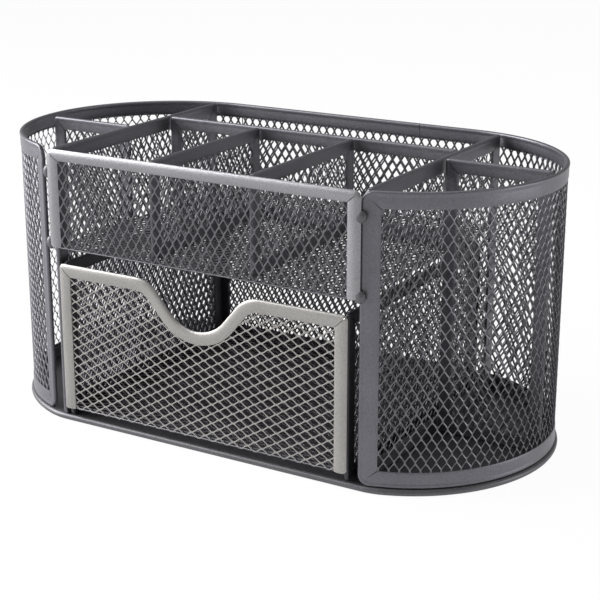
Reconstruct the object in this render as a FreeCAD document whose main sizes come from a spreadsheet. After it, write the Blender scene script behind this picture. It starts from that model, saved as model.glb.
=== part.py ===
"""Pen stand with a drawer: expanded steel mesh held in folded steel channels.

Millimetres. X runs to the right, Y to the back, Z up. The origin is under the middle of the
stand, on the surface it rests on. The long sides face front and back, the ends are round.
"""
import FreeCAD, Part
import math
import os

import Sketcher

Vector = FreeCAD.Vector
Rotation = FreeCAD.Rotation

# Driving sizes: name, value in millimetres (degrees for angles), what it measures
SIZES = (
    ("rim_width", 220.0, "over the top rim, from end to end"),
    ("end_radius", 56.3, "outside radius of the rim round each end"),
    ("body_height", 107.0, "from the resting surface to the top of the rim"),
    ("front_reach", 55.0, "from the centre line to the backs of the tray's and the drawer's fronts"),
    ("base_height", 2.5, "height of the base's turned-down edge"),
    ("base_sheet", 0.8, "thickness of the base's sheet"),
    ("base_overhang", 1.2, "how far the base stands out past the wall's trim"),
    ("base_front_step", 0.2, "how far the base stands out under the two fronts"),
    ("base_edge_width", 2.0, "width of the base's turned-down edge"),
    ("base_edge_rounding", 0.9, "rounding of the base's turned-down edge"),
    ("channel_thickness", 2.5, "outside thickness of a folded channel"),
    ("channel_sheet", 0.5, "thickness of the sheet that the channels are folded from"),
    ("edge_gap", 0.2, "between a mesh's edge and the bottom of its channel"),
    ("seat_gap", 0.1, "between two pieces that are spot-welded face to face"),
    ("mesh_thickness", 0.9, "overall thickness of the expanded mesh"),
    ("mesh_strand", 1.5, "width of the strand between two gaps"),
    ("rim_band", 6.0, "height of the rim's channel"),
    ("trim_band", 6.0, "height of the channel round the wall's foot"),
    ("right_post_band", 5.6, "width of the upright channel at the wall's right front end"),
    ("left_post_band", 4.2, "width of the upright channel at its left front end"),
    ("post_corner_radius", 4.0, "rounding of a post's lower front corner"),
    ("right_post_place", 64.4, "from the middle to the right post's inner front edge"),
    ("left_post_place", 70.5, "from the middle to the left post's inner front edge"),
    ("frame_corner_radius", 1.5, "rounding of the corners of the framed panels"),
    ("partition_place", 65.0, "from the middle to each full-height partition"),
    ("partition_band", 5.6, "width of the channel round a partition"),
    ("left_divider_place", 6.0, "left end divider, in front of the centre line"),
    ("left_divider_wall_gap", 2.9, "between the left end divider and the wall"),
    ("right_divider_place", 3.0, "right end divider, behind the centre line"),
    ("divider_band", 5.0, "width of the channel round a divider"),
    ("tray_depth", 37.5, "from the top of the rim to the tray's underside"),
    ("tray_front_right", 64.7, "from the middle to the right end of the tray's front"),
    ("tray_front_left", 66.4, "from the middle to the left end of the tray's front"),
    ("tray_band", 5.0, "width of the channel down the sides of the tray's front"),
    ("tray_top_band", 4.3, "width of the channel over the tray's front"),
    ("tray_divider_place", 21.0, "from the middle to each of the tray's short dividers"),
    ("middle_divider_place", 18.0, "long divider, behind the centre line"),
    ("drawer_side_gap", 2.25, "between the drawer and each partition, where it stands in the middle"),
    ("drawer_shift", 1.3, "how far left of the middle the drawer stands"),
    ("drawer_top_gap", 5.5, "between the drawer's sides and the tray's underside"),
    ("drawer_running_gap", 0.3, "between the drawer and the base plate it slides on"),
    ("drawer_rear_gap", 2.8, "between the closed drawer and the trim behind it"),
    ("drawer_side_band", 5.0, "width of the channel round the drawer's sides and back"),
    ("drawer_front_base", 6.5, "from the resting surface to the drawer front's lower edge"),
    ("drawer_front_gap", 5.7, "between the drawer's front and the level of the tray's underside"),
    ("drawer_front_band", 4.5, "width of the channel over the drawer's front"),
    ("drawer_corner_radius", 1.5, "rounding of the drawer front's upper corners"),
    ("notch_depth", 16.3, "depth of the finger notch"),
    ("notch_shoulder_radius", 12.5, "radius where the notch leaves the front's top"),
    ("notch_bottom_radius", 15.0, "radius of the bottom of the notch"),
    ("notch_slope_angle", 50.0, "steepest slope of the notch, in degrees"),
    ("weld_radius", 1.2, "half the width of a right weld bead"),
    ("left_weld_depth", 1.5, "half the depth of a left weld bead, which spans a wider gap"),
    ("weld_half_length", 2.6, "half the height of a weld bead"),
    ("weld_clearance", 0.05, "between a weld bead and the channels it joins"),
    ("upper_weld_drop", 9.0, "upper weld beads, below the top of the rim"),
)

# Gaps in each mesh: how many across, and how many up it or back along it. Each stands for two
# by two gaps of the real sheet, and for still more in the bent ends.
GAPS = {
    "end": (12, 6),
    "back": (15, 8),
    "left_partition": (14, 8),
    "right_partition": (13, 8),
    "left_end_divider": (4, 8),
    "right_end_divider": (4, 8),
    "middle_divider": (17, 2),
    "left_tray_divider": (9, 2),
    "right_tray_divider": (9, 2),
    "tray_front": (17, 3),
    "tray_floor": (18, 9),
    "drawer_front": (10, 7),
    "drawer_left_side": (13, 4),
    "drawer_right_side": (13, 4),
    "drawer_back": (16, 4),
    "drawer_floor": (10, 14),
}

# Sizes that follow from them: name, formula
FITS = (
    ("end_centre", "sizes.rim_width / 2 - sizes.end_radius"),
    ("half_channel", "sizes.channel_thickness / 2"),
    ("inner_radius", "sizes.end_radius - sizes.channel_thickness"),
    ("wall_radius", "sizes.end_radius - fits.half_channel"),
    ("slot_width", "sizes.channel_thickness - 2 * sizes.channel_sheet"),
    ("slot_outer_radius", "fits.wall_radius + fits.slot_width / 2"),
    ("slot_inner_radius", "fits.wall_radius - fits.slot_width / 2"),
    ("mesh_outer_radius", "fits.wall_radius + sizes.mesh_thickness / 2"),
    ("mesh_inner_radius", "fits.wall_radius - sizes.mesh_thickness / 2"),
    ("mesh_inset", "sizes.channel_sheet + sizes.edge_gap"),
    ("degrees_per_length", "180 / pi / fits.wall_radius"),
    ("base_radius", "sizes.end_radius + sizes.base_overhang"),
    ("base_front", "sizes.front_reach + sizes.base_front_step"),
    ("base_hollow_radius", "fits.base_radius - sizes.base_edge_width"),
    ("base_hollow_front", "fits.base_front - sizes.base_edge_width"),
    ("base_hollow_depth", "sizes.base_height - sizes.base_sheet"),
    ("standing_level", "sizes.base_height + sizes.seat_gap"),
    ("standing_height", "sizes.body_height - fits.standing_level"),
    ("rim_level", "sizes.body_height - sizes.rim_band"),
    ("rim_slot_depth", "sizes.rim_band - sizes.channel_sheet"),
    ("trim_slot_depth", "sizes.trim_band - sizes.channel_sheet"),
    ("partition_inner", "sizes.partition_place - fits.half_channel"),
    ("partition_outer", "sizes.partition_place + fits.half_channel"),
    ("partition_rear",
     "sqrt(fits.inner_radius^2 - (fits.partition_outer - fits.end_centre)^2) - sizes.seat_gap"),
    ("partition_length", "sizes.front_reach + fits.partition_rear"),
    ("right_partition_length", "2 * fits.partition_rear"),
    ("right_post_turn", "asin((sizes.right_post_place - fits.end_centre) / fits.inner_radius) / 1 deg"),
    ("left_post_turn", "asin((sizes.left_post_place - fits.end_centre) / fits.inner_radius) / 1 deg"),
    ("right_post_angle", "sizes.right_post_band * fits.degrees_per_length"),
    ("left_post_angle", "sizes.left_post_band * fits.degrees_per_length"),
    ("sheet_angle", "sizes.channel_sheet * fits.degrees_per_length"),
    ("seat_angle", "sizes.seat_gap * fits.degrees_per_length"),
    ("inset_angle", "fits.mesh_inset * fits.degrees_per_length"),
    ("right_post_edge", "fits.right_post_turn - 90"),
    ("right_post_rear", "fits.right_post_edge + fits.right_post_angle"),
    ("right_slot_edge", "fits.right_post_edge + fits.sheet_angle"),
    ("right_band_edge", "fits.right_post_rear + fits.seat_angle"),
    ("right_mesh_edge", "fits.right_post_edge + fits.inset_angle"),
    ("right_mesh_rear", "90 - fits.seat_angle"),
    ("left_post_edge", "270 - fits.left_post_turn"),
    ("left_post_rear", "fits.left_post_edge - fits.left_post_angle"),
    ("left_slot_edge", "fits.left_post_edge - fits.sheet_angle"),
    ("left_band_edge", "fits.left_post_rear - fits.seat_angle"),
    ("left_mesh_edge", "fits.left_post_edge - fits.inset_angle"),
    ("left_mesh_rear", "90 + fits.seat_angle"),
    ("quarter_turn", "90"),
    ("post_slot_height", "fits.standing_height - 2 * sizes.channel_sheet"),
    ("post_slot_corner", "sizes.post_corner_radius - sizes.channel_sheet"),
    ("end_mesh_corner", "sizes.post_corner_radius - fits.mesh_inset"),
    ("wall_mesh_level", "fits.standing_level + fits.mesh_inset"),
    ("wall_mesh_height", "fits.standing_height - 2 * fits.mesh_inset"),
    ("back_mesh_width", "2 * fits.end_centre"),
    ("divider_inner_end", "fits.partition_outer + sizes.seat_gap"),
    ("left_divider_near", "sizes.left_divider_place + fits.half_channel"),
    ("right_divider_near", "sizes.right_divider_place + fits.half_channel"),
    ("left_divider_end",
     "fits.end_centre + sqrt(fits.inner_radius^2 - fits.left_divider_near^2)"
     " - sizes.left_divider_wall_gap"),
    ("right_divider_end",
     "fits.end_centre + sqrt(fits.inner_radius^2 - fits.right_divider_near^2) - sizes.seat_gap"),
    ("left_divider_width", "fits.left_divider_end - fits.divider_inner_end"),
    ("right_divider_width", "fits.right_divider_end - fits.divider_inner_end"),
    ("tray_floor_height", "sizes.body_height - sizes.tray_depth"),
    ("tray_frame_level", "fits.tray_floor_height + sizes.mesh_thickness + sizes.edge_gap"),
    ("tray_frame_height", "sizes.body_height - fits.tray_frame_level"),
    ("tray_front_width", "sizes.tray_front_left + sizes.tray_front_right"),
    ("tray_frame_place", "sizes.front_reach + fits.half_channel"),
    ("tray_mesh_width", "fits.tray_front_width - 2 * fits.mesh_inset"),
    ("tray_mesh_height", "sizes.tray_depth - fits.mesh_inset"),
    ("tray_floor_half", "fits.partition_inner - sizes.seat_gap"),
    ("tray_floor_front", "fits.tray_frame_place - sizes.mesh_thickness / 2 - sizes.seat_gap"),
    ("tray_floor_rear",
     "sqrt(fits.mesh_inner_radius^2 - (fits.tray_floor_half - fits.end_centre)^2)"
     " - sizes.seat_gap"),
    ("tray_floor_width", "2 * fits.tray_floor_half"),
    ("tray_floor_depth", "fits.tray_floor_front + fits.tray_floor_rear"),
    ("tray_wall_level", "fits.tray_floor_height + sizes.mesh_thickness + sizes.seat_gap"),
    ("tray_wall_height", "sizes.body_height - fits.tray_wall_level"),
    ("tray_wall_front", "sizes.front_reach - sizes.seat_gap"),
    ("tray_divider_length",
     "fits.tray_wall_front + sizes.middle_divider_place - fits.half_channel - sizes.seat_gap"),
    ("drawer_half_width", "fits.partition_inner - sizes.drawer_side_gap"),
    ("drawer_width", "2 * fits.drawer_half_width"),
    ("drawer_level", "sizes.base_height + sizes.drawer_running_gap"),
    ("drawer_side_height", "fits.tray_floor_height - sizes.drawer_top_gap - fits.drawer_level"),
    ("drawer_front_height",
     "fits.tray_floor_height - sizes.drawer_front_gap - sizes.drawer_front_base"),
    ("drawer_rear", "fits.inner_radius - sizes.drawer_rear_gap"),
    ("drawer_back_place", "fits.drawer_rear - fits.half_channel"),
    ("drawer_side_place", "fits.drawer_half_width - fits.half_channel"),
    ("drawer_side_front", "sizes.front_reach - sizes.seat_gap"),
    ("drawer_side_rear", "fits.drawer_rear - sizes.channel_thickness - sizes.seat_gap"),
    ("drawer_side_length", "fits.drawer_side_front + fits.drawer_side_rear"),
    ("drawer_floor_half",
     "fits.drawer_half_width - sizes.channel_thickness - sizes.seat_gap"),
    ("drawer_floor_width", "2 * fits.drawer_floor_half"),
    ("notch_blend", "sizes.notch_shoulder_radius + sizes.notch_bottom_radius"),
    ("notch_slope_length",
     "(sizes.notch_depth - fits.notch_blend * (1 - cos(sizes.notch_slope_angle * 1 deg)))"
     " / sin(sizes.notch_slope_angle * 1 deg)"),
    ("notch_half_width",
     "fits.notch_blend * sin(sizes.notch_slope_angle * 1 deg)"
     " + fits.notch_slope_length * cos(sizes.notch_slope_angle * 1 deg)"),
    ("weld_reach", "sizes.weld_radius + sizes.weld_clearance"),
    ("right_weld_x", "sizes.tray_front_right + fits.weld_reach"),
    ("right_weld_y",
     "sqrt((sizes.end_radius + fits.weld_reach)^2 - (fits.right_weld_x - fits.end_centre)^2)"),
    ("left_post_front_x", "fits.end_centre + sizes.end_radius * sin(fits.left_post_turn * 1 deg)"),
    ("left_post_front_y", "sizes.end_radius * cos(fits.left_post_turn * 1 deg)"),
    ("left_weld_x", "(sizes.tray_front_left + fits.left_post_front_x) / 2"),
    ("left_weld_y", "(sizes.front_reach + fits.left_post_front_y) / 2"),
    ("left_weld_half", "(fits.left_post_front_x - sizes.tray_front_left) / 2 - sizes.weld_clearance"),
    ("upper_weld_level", "sizes.body_height - sizes.upper_weld_drop"),
)

SAME_PLACE = 1e-4

doc = FreeCAD.newDocument("pen_stand")
sizes = doc.addObject("Spreadsheet::Sheet", "sizes")
fits = doc.addObject("App::VarSet", "fits")
nodes = []


def fill_sheet():
    """Put the driving sizes in the spreadsheet, one named cell a row."""
    for row, (name, number, note) in enumerate(SIZES, start=1):
        sizes.set("A%d" % row, name)
        sizes.set("B%d" % row, str(number))
        sizes.setAlias("B%d" % row, name)
        sizes.set("C%d" % row, note)
    doc.recompute()


def work_out_fits():
    """Bind every size that follows from the driving ones to its formula."""
    for name, formula in FITS:
        fits.addProperty("App::PropertyFloat", name, "Fits")
        fits.setExpression(name, formula)
    doc.recompute()


def number(name):
    """The number that a driving size or a fit has now."""
    return float(getattr(fits if name in fits.PropertiesList else sizes, name))


def reading(name):
    """The formula that reads a driving size or a fit."""
    return ("fits." if name in fits.PropertiesList else "sizes.") + name


def value(size):
    """A size is a name, or several names: the first less the others."""
    first, *others = (size,) if isinstance(size, str) else size
    return number(first) - sum(number(name) for name in others)


def formula_of(size):
    """The same as a formula for setExpression."""
    names = (size,) if isinstance(size, str) else size
    return " - ".join(reading(name) for name in names)


def add_node(node, label):
    """Give a finished piece the name that its file gets."""
    node.Label = label
    nodes.append(node)
    return node


def put(node, x, y, z, rotation=None):
    """Place a piece by three formulas, turned as it stands in the stand."""
    if rotation is not None:
        node.Placement = FreeCAD.Placement(Vector(), rotation)
    node.setExpression("Placement.Base.x", x)
    node.setExpression("Placement.Base.y", y)
    node.setExpression("Placement.Base.z", z)


# Sketches and features

def new_body(label):
    body = doc.addObject("PartDesign::Body", label)
    return add_node(body, label)


def new_sketch(body, role):
    """A sketch on one of the body's own origin planes."""
    plane = next(o for o in body.Origin.OriginFeatures if o.Role == role)
    sketch = body.newObject("Sketcher::SketchObject", "outline")
    sketch.AttachmentSupport = [(plane, "")]
    sketch.MapMode = "FlatFace"
    return sketch


def constrain(sketch, kind, *places, size=None, unit=""):
    """Add a constraint, bound to a named size where it has one."""
    if size is None:
        sketch.addConstraint(Sketcher.Constraint(kind, *places))
        return
    number = math.radians(value(size)) if unit else value(size)
    index = sketch.addConstraint(Sketcher.Constraint(kind, *places, number))
    sketch.setExpression("Constraints[%d]" % index, formula_of(size) + unit)


def draw_rectangle(sketch, left, bottom, right, top):
    """A rectangle between four named sizes; None is the sketch's own axis."""
    low_x, low_y = (0.0 if n is None else value(n) for n in (left, bottom))
    high_x, high_y = value(right), value(top)
    corners = [Vector(low_x, low_y), Vector(high_x, low_y), Vector(high_x, high_y), Vector(low_x, high_y)]
    for here, there in zip(corners, corners[1:] + corners[:1]):
        sketch.addGeometry(Part.LineSegment(here, there))
    for side in range(4):
        constrain(sketch, "Coincident", side, 2, (side + 1) % 4, 1)
        constrain(sketch, "Vertical" if side % 2 else "Horizontal", side)
    if left is None:
        constrain(sketch, "PointOnObject", 0, 1, -2)
    else:
        constrain(sketch, "DistanceX", -1, 1, 0, 1, size=left)
    if bottom is None:
        constrain(sketch, "PointOnObject", 0, 1, -1)
    else:
        constrain(sketch, "DistanceY", -1, 1, 0, 1, size=bottom)
    constrain(sketch, "DistanceX", -1, 1, 2, 1, size=right)
    constrain(sketch, "DistanceY", -1, 1, 2, 1, size=top)


def end_point(side, level):
    """The centre of a round end, at a level."""
    return Vector(value("end_centre") if side == "right" else -value("end_centre"), 0, level)


def end_angles(side, edge, rear):
    """Names of a bent piece's two angles, counter-clockwise: the front edge is last on the left."""
    return (edge, rear) if side == "right" else (rear, edge)


def draw_ring_sector(sketch, side, outer, inner, start, end):
    """A piece of ring round one end's centre, between two named angles."""
    centre = end_point(side, 0)
    first, last = math.radians(value(start)), math.radians(value(end))
    for radius in (outer, inner):
        circle = Part.Circle(centre, Vector(0, 0, 1), value(radius))
        sketch.addGeometry(Part.ArcOfCircle(circle, first, last))
    for angle in (first, last):
        ray = Vector(math.cos(angle), math.sin(angle), 0)
        sketch.addGeometry(Part.LineSegment(centre + ray * value(inner), centre + ray * value(outer)))
    constrain(sketch, "Coincident", 0, 3, 1, 3)
    constrain(sketch, "PointOnObject", 0, 3, -1)
    ends = (-1, 1, 0, 3) if side == "right" else (0, 3, -1, 1)
    constrain(sketch, "DistanceX", *ends, size="end_centre")
    constrain(sketch, "Radius", 0, size=outer)
    constrain(sketch, "Radius", 1, size=inner)
    for line, arc_end, angle in ((2, 1, start), (3, 2, end)):
        constrain(sketch, "Coincident", 1, arc_end, line, 1)
        constrain(sketch, "Coincident", 0, arc_end, line, 2)
        constrain(sketch, "Angle", line, size=angle, unit=" * 1 deg")
    return sketch


def draw_base_outline(sketch, radius, front):
    """Two round ends, a straight back that runs into them and a straight front."""
    centre, reach = value("end_centre"), value(radius)
    front_angle = math.asin(value(front) / reach)
    right = Part.Circle(Vector(centre, 0, 0), Vector(0, 0, 1), reach)
    left = Part.Circle(Vector(-centre, 0, 0), Vector(0, 0, 1), reach)
    front_x = centre + reach * math.cos(front_angle)
    sketch.addGeometry(Part.ArcOfCircle(right, -front_angle, math.pi / 2))
    sketch.addGeometry(Part.ArcOfCircle(left, math.pi / 2, math.pi + front_angle))
    sketch.addGeometry(Part.LineSegment(Vector(centre, reach, 0), Vector(-centre, reach, 0)))
    sketch.addGeometry(Part.LineSegment(Vector(-front_x, -value(front), 0), Vector(front_x, -value(front), 0)))
    constrain(sketch, "Tangent", 0, 2, 2, 1)
    constrain(sketch, "Tangent", 2, 2, 1, 1)
    constrain(sketch, "Coincident", 1, 2, 3, 1)
    constrain(sketch, "Coincident", 3, 2, 0, 1)
    constrain(sketch, "Horizontal", 3)
    constrain(sketch, "Equal", 0, 1)
    constrain(sketch, "PointOnObject", 0, 3, -1)
    constrain(sketch, "Symmetric", 0, 3, 1, 3, -1, 1)
    constrain(sketch, "DistanceX", -1, 1, 0, 3, size="end_centre")
    constrain(sketch, "Radius", 0, size=radius)
    constrain(sketch, "DistanceY", 3, 1, -1, 1, size=front)


def pad(body, sketch, length, both_ways=False):
    feature = body.newObject("PartDesign::Pad", "pad")
    feature.Profile = sketch
    feature.setExpression("Length", formula_of(length))
    feature.Midplane = both_ways
    doc.recompute()
    return feature


def pocket(body, sketch, length, both_ways=False):
    """Cut a sketch away, upwards or both ways, and make sure that it cut something."""
    before = body.Shape.Volume
    feature = body.newObject("PartDesign::Pocket", "pocket")
    feature.Profile = sketch
    feature.setExpression("Length", formula_of(length))
    feature.Midplane = both_ways
    feature.Reversed = not both_ways
    doc.recompute()
    if body.Shape.Volume > before - SAME_PLACE:
        raise RuntimeError("a pocket of %s cuts nothing" % body.Label)
    return feature


def fillet(body, edges, radius):
    """Round the edges of the body's last feature that a test picks out."""
    base = body.Tip
    names = ["Edge%d" % n for n, edge in enumerate(base.Shape.Edges, start=1) if edges(edge)]
    feature = body.newObject("PartDesign::Fillet", "fillet")
    feature.Base = (base, names)
    feature.setExpression("Radius", formula_of(radius))
    doc.recompute()
    return feature


def lies_level(shape, level):
    """Whether a face or an edge lies flat at a level."""
    box = shape.BoundBox
    return abs(box.ZMin - level) < SAME_PLACE and abs(box.ZMax - level) < SAME_PLACE


def radial_edge(side, angle, level):
    """A test for the edge that points away from an end's centre at an angle, low on a piece."""
    direction = Vector(math.cos(math.radians(angle)), math.sin(math.radians(angle)), 0)
    centre = end_point(side, level)

    def test(edge):
        ends = [vertex.Point - centre for vertex in edge.Vertexes]
        on_ray = [(end - direction * end.dot(direction)).Length < SAME_PLACE for end in ends]
        return len(ends) == 2 and all(on_ray)
    return test


def corner_edge(width, height, bottom_too):
    """A test for the short edges at the outer corners of a panel frame."""
    levels = (0.0, height) if bottom_too else (height,)

    def test(edge):
        box = edge.BoundBox
        at_side = any(abs(box.XMin - x) < SAME_PLACE and box.XLength < SAME_PLACE for x in (0.0, width))
        at_level = any(abs(box.ZMin - z) < SAME_PLACE and box.ZLength < SAME_PLACE for z in levels)
        return at_side and at_level
    return test


# Expanded mesh

def gap_wires(left, bottom, right, top, counts, kept=None):
    """Diamond gaps in staggered rows that fill a window with whole gaps."""
    columns, rows = counts
    step_x, step_z = (right - left) / columns, (top - bottom) / rows
    to_side = step_x * step_z / 2 / math.hypot(step_x, step_z)
    open_share = 1 - value("mesh_strand") / 2 / to_side
    half_x, half_z = step_x / 2 * open_share, step_z / 2 * open_share
    wires = []
    for row in range(2 * rows - 1):
        z = bottom + (row + 1) * step_z / 2
        staggered = row % 2
        for column in range(columns - staggered):
            x = left + (column + (1 + staggered) / 2) * step_x
            points = [Vector(x - half_x, 0, z), Vector(x, 0, z + half_z),
                      Vector(x + half_x, 0, z), Vector(x, 0, z - half_z)]
            if kept is None or all(kept(point) for point in points):
                wires.append(Part.makePolygon(points + points[:1]))
    return wires


def mesh_solid(outline, gaps):
    """One sheet with its gaps, standing in the XZ plane, half its thickness each side."""
    thickness = value("mesh_thickness")
    face = Part.Face([outline] + gaps)
    face.translate(Vector(0, -thickness / 2, 0))
    return face.extrude(Vector(0, thickness, 0))


def rectangle_wire(left, bottom, right, top):
    """A rectangle in the XZ plane, drawn the opposite way round to the gaps in it."""
    points = [Vector(left, 0, bottom), Vector(right, 0, bottom), Vector(right, 0, top), Vector(left, 0, top)]
    return Part.makePolygon(points + points[:1])


def add_mesh(label, shape):
    """A mesh is one holed face given its thickness."""
    mesh = doc.addObject("Part::Feature", label)
    mesh.Shape = shape
    return add_node(mesh, label)


# Framed panels: a mesh with one channel folded round its edge

def channel_frame(label, width, height, band, top_band, open_below=False):
    """A channel round a panel: a plate, less its window, less the slot for the mesh."""
    body = new_body(label)
    plate = new_sketch(body, "XZ_Plane")
    draw_rectangle(plate, None, None, width, height)
    pad(body, plate, "channel_thickness", both_ways=True)
    fillet(body, corner_edge(value(width), value(height), not open_below), "frame_corner_radius")
    window = new_sketch(body, "XZ_Plane")
    draw_rectangle(window, band, None if open_below else band, (width, band), (height, top_band))
    pocket(body, window, "channel_thickness", both_ways=True)
    slot = new_sketch(body, "XZ_Plane")
    sheet = "channel_sheet"
    draw_rectangle(slot, sheet, None if open_below else sheet, (width, sheet), (height, sheet))
    pocket(body, slot, "slot_width", both_ways=True)
    return body


def framed_panel(label, width, height, band, place, rotation=None):
    """A rectangular mesh and the channel folded round its four edges."""
    frame = channel_frame(label + "_frame", width, height, band, band)
    inset, edge = value("mesh_inset"), value(band)
    wide, high = value(width), value(height)
    outline = rectangle_wire(inset, inset, wide - inset, high - inset)
    gaps = gap_wires(edge, edge, wide - edge, high - edge, GAPS[label])
    mesh = add_mesh(label + "_mesh", mesh_solid(outline, gaps))
    for piece in (frame, mesh):
        put(piece, *place, rotation)


# The base: a pressed sheet with its edge turned down all round

def base_plate():
    body = new_body("base_plate")
    outline = new_sketch(body, "XY_Plane")
    draw_base_outline(outline, "base_radius", "base_front")
    pad(body, outline, "base_height")
    hollow = new_sketch(body, "XY_Plane")
    draw_base_outline(hollow, "base_hollow_radius", "base_hollow_front")
    pocket(body, hollow, "base_hollow_depth")
    levels = (0, value("base_height"))
    rims = [edge for face in body.Tip.Shape.Faces for edge in face.OuterWire.Edges
            if any(lies_level(face, level) for level in levels)]
    fillet(body, lambda edge: any(edge.isSame(rim) for rim in rims), "base_edge_rounding")


# The outer wall: two bent ends and a flat back, held in a channel all round

def wall_channel(label, band, slot_low, slot_top, slot_depth):
    """The channel along the wall's upper or lower edge, from post to post round the back."""
    body = new_body(label)
    outside = ("end_radius", "inner_radius", None, band, band, pad)
    slot = ("slot_outer_radius", "slot_inner_radius", slot_low, slot_top, slot_depth, pocket)
    for outer, inner, low, top, height, add in (outside, slot):
        straight = new_sketch(body, "YZ_Plane")
        draw_rectangle(straight, inner, low, outer, top)
        add(body, straight, "back_mesh_width", both_ways=True)
        for side in ("right", "left"):
            angles = end_angles(side, side + "_band_edge", "quarter_turn")
            bend = draw_ring_sector(new_sketch(body, "XY_Plane"), side, outer, inner, *angles)
            if low:
                bend.setExpression("AttachmentOffset.Base.z", reading(low))
            add(body, bend, height)
    return body


def post(side):
    """The upright channel at one of the wall's front ends, with a rounded foot."""
    body = new_body(side + "_post")
    edge, rear, slot_edge = side + "_post_edge", side + "_post_rear", side + "_slot_edge"
    sector = draw_ring_sector(new_sketch(body, "XY_Plane"), side, "end_radius", "inner_radius",
                              *end_angles(side, edge, rear))
    pad(body, sector, "standing_height")
    slot = draw_ring_sector(new_sketch(body, "XY_Plane"), side, "slot_outer_radius", "slot_inner_radius",
                            *end_angles(side, slot_edge, rear))
    slot.setExpression("AttachmentOffset.Base.z", "sizes.channel_sheet")
    pocket(body, slot, "post_slot_height")
    fillet(body, radial_edge(side, value(slot_edge), value("channel_sheet")), "post_slot_corner")
    fillet(body, radial_edge(side, value(edge), 0), "post_corner_radius")
    put(body, "0", "0", "fits.standing_level")


def end_gap(side, angle, level, half_wide, half_high):
    """A prism out through the wall, the tool for one diamond gap in a round end."""
    outward = Vector(math.cos(angle), math.sin(angle), 0)
    along = Vector(-math.sin(angle), math.cos(angle), 0) * half_wide
    upward = Vector(0, 0, half_high)
    middle = end_point(side, level) + outward * value("inner_radius")
    points = [middle - along, middle + upward, middle + along, middle - upward]
    face = Part.Face(Part.makePolygon(points + points[:1]))
    return face.extrude(outward * value("channel_thickness"))


def end_gaps(side):
    """Plain rows of gaps between a round end's post and the flat back."""
    columns, rows = GAPS["end"]
    first, last = (math.radians(value(side + name)) for name in ("_post_rear", "_mesh_rear"))
    low = value("trim_band") - value("mesh_inset")
    high = value("wall_mesh_height") + value("mesh_inset") - value("rim_band")
    turn, rise = (last - first) / columns, (high - low) / rows
    half_wide = (abs(turn) * value("wall_radius") - value("mesh_strand")) / 2
    half_high = (rise - value("mesh_strand")) / 2
    return Part.Compound([
        end_gap(side, first + turn * (column + 1 / 2), low + rise * (row + 1 / 2), half_wide, half_high)
        for column in range(columns) for row in range(rows)])


def end_mesh(side):
    """The mesh of a round end, from its post to the flat back: a bent sheet less its gaps."""
    sheet = doc.addObject("PartDesign::Body", side + "_end_sheet")
    edge = side + "_mesh_edge"
    sector = draw_ring_sector(new_sketch(sheet, "XY_Plane"), side, "mesh_outer_radius", "mesh_inner_radius",
                              *end_angles(side, edge, side + "_mesh_rear"))
    pad(sheet, sector, "wall_mesh_height")
    fillet(sheet, radial_edge(side, value(edge), 0), "end_mesh_corner")
    gaps = doc.addObject("Part::Feature", side + "_end_gaps")
    gaps.Shape = end_gaps(side)
    mesh = doc.addObject("Part::Cut", side + "_end_mesh")
    mesh.Base = sheet
    mesh.Tool = gaps
    add_node(mesh, side + "_end_mesh")
    put(mesh, "0", "0", "fits.wall_mesh_level")


def back_mesh():
    """The flat mesh across the back."""
    wide, high = value("back_mesh_width"), value("wall_mesh_height")
    inset, strand = value("mesh_inset"), value("mesh_strand")
    low, top = value("trim_band") - inset, high + inset - value("rim_band")
    gaps = gap_wires(strand, low, wide - strand, top, GAPS["back"])
    mesh = add_mesh("back_mesh", mesh_solid(rectangle_wire(0, 0, wide, high), gaps))
    put(mesh, "-fits.end_centre", "fits.wall_radius", "fits.wall_mesh_level")


def outer_wall():
    rim = wall_channel("rim_channel", "rim_band", None, "rim_slot_depth", "rim_slot_depth")
    put(rim, "0", "0", "fits.rim_level")
    foot = wall_channel("foot_channel", "trim_band", "channel_sheet", "trim_band", "trim_slot_depth")
    put(foot, "0", "0", "fits.standing_level")
    for side in ("right", "left"):
        post(side)
        end_mesh(side)
    back_mesh()


# Partitions and dividers

def partitions():
    """Two full-height panels that part the round ends from the middle.

    The left one reaches the tray's front, the right one ends behind its post.
    """
    front_to_back = Rotation(Vector(0, 0, 1), 90)
    framed_panel("left_partition", "partition_length", "standing_height", "partition_band",
                 ("-sizes.partition_place", "-sizes.front_reach", "fits.standing_level"), front_to_back)
    framed_panel("right_partition", "right_partition_length", "standing_height", "partition_band",
                 ("sizes.partition_place", "-fits.partition_rear", "fits.standing_level"), front_to_back)


def end_dividers():
    """One full-height panel across each round end."""
    framed_panel("left_end_divider", "left_divider_width", "standing_height", "divider_band",
                 ("-fits.left_divider_end", "-sizes.left_divider_place", "fits.standing_level"))
    framed_panel("right_end_divider", "right_divider_width", "standing_height", "divider_band",
                 ("fits.divider_inner_end", "sizes.right_divider_place", "fits.standing_level"))


def tray_walls():
    """The long divider across the middle and two short ones in front of it."""
    framed_panel("middle_divider", "tray_floor_width", "tray_wall_height", "divider_band",
                 ("-fits.tray_floor_half", "sizes.middle_divider_place", "fits.tray_wall_level"))
    front_to_back = Rotation(Vector(0, 0, 1), 90)
    for side, sign in (("left", "-"), ("right", "")):
        place = (sign + "sizes.tray_divider_place", "-fits.tray_wall_front", "fits.tray_wall_level")
        framed_panel(side + "_tray_divider", "tray_divider_length", "tray_wall_height", "divider_band",
                     place, front_to_back)


# The tray over the drawer

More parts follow.
